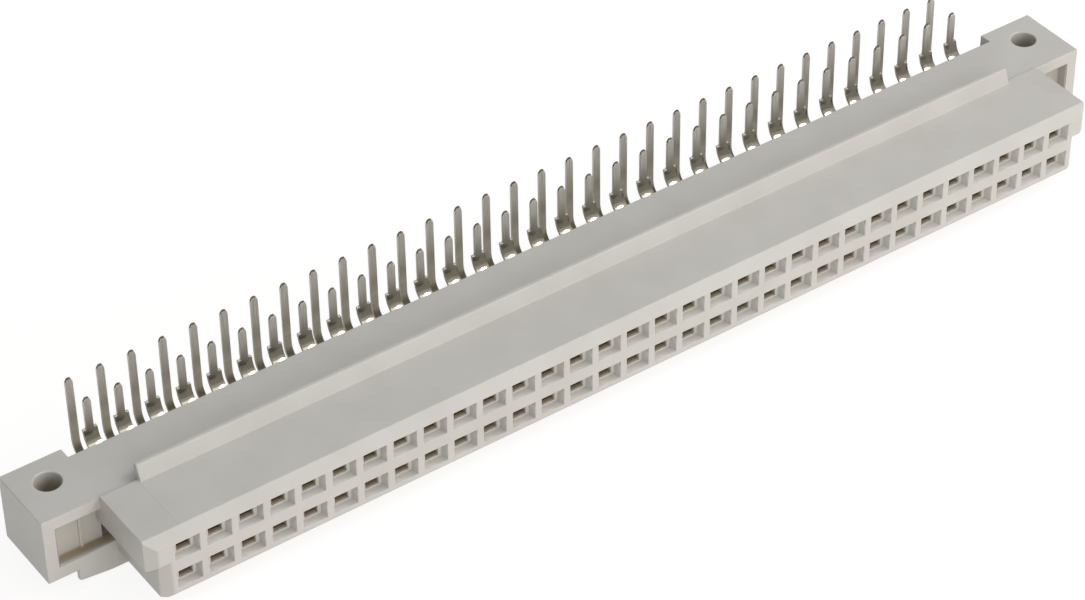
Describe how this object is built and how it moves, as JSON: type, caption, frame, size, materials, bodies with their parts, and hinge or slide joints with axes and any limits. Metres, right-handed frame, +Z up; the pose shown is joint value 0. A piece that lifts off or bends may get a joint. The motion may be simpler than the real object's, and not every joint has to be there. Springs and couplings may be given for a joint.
{
  "type": "two-row pin connector",
  "caption": "Right-angle board connector: long moulded housing with two rows of sockets, drilled end flanges, a board stop rib and stamped contacts whose tails turn up.",
  "frame": {"origin": "midway between the two mounting holes, on the face that seats on the board", "axes": "+X along the rows of contacts, +Y from the mating face towards the tails, +Z up through the board, along the mounting holes"},
  "size_m": [0.094, 0.0158, 0.0098],
  "materials": {
    "housing": "satin moulded plastic, warm pebble grey",
    "contact": "satin tin plating over a copper alloy"
  },
  "bodies": {
    "root": {"housing": "housing", "contacts_column_01": "contact", "contacts_column_02": "contact", "contacts_column_03": "contact", "contacts_column_04": "contact", "contacts_column_05": "contact", "contacts_column_06": "contact", "contacts_column_07": "contact", "contacts_column_08": "contact", "contacts_column_09": "contact", "contacts_column_10": "contact", "contacts_column_11": "contact", "contacts_column_12": "contact", "contacts_column_13": "contact", "contacts_column_14": "contact", "contacts_column_15": "contact", "contacts_column_16": "contact", "contacts_column_17": "contact", "contacts_column_18": "contact", "contacts_column_19": "contact", "contacts_column_20": "contact", "contacts_column_21": "contact", "contacts_column_22": "contact", "contacts_column_23": "contact", "contacts_column_24": "contact", "contacts_column_25": "contact", "contacts_column_26": "contact", "contacts_column_27": "contact", "contacts_column_28": "contact", "contacts_column_29": "contact", "contacts_column_30": "contact", "contacts_column_31": "contact", "contacts_column_32": "contact"}
  },
  "joints": []
}
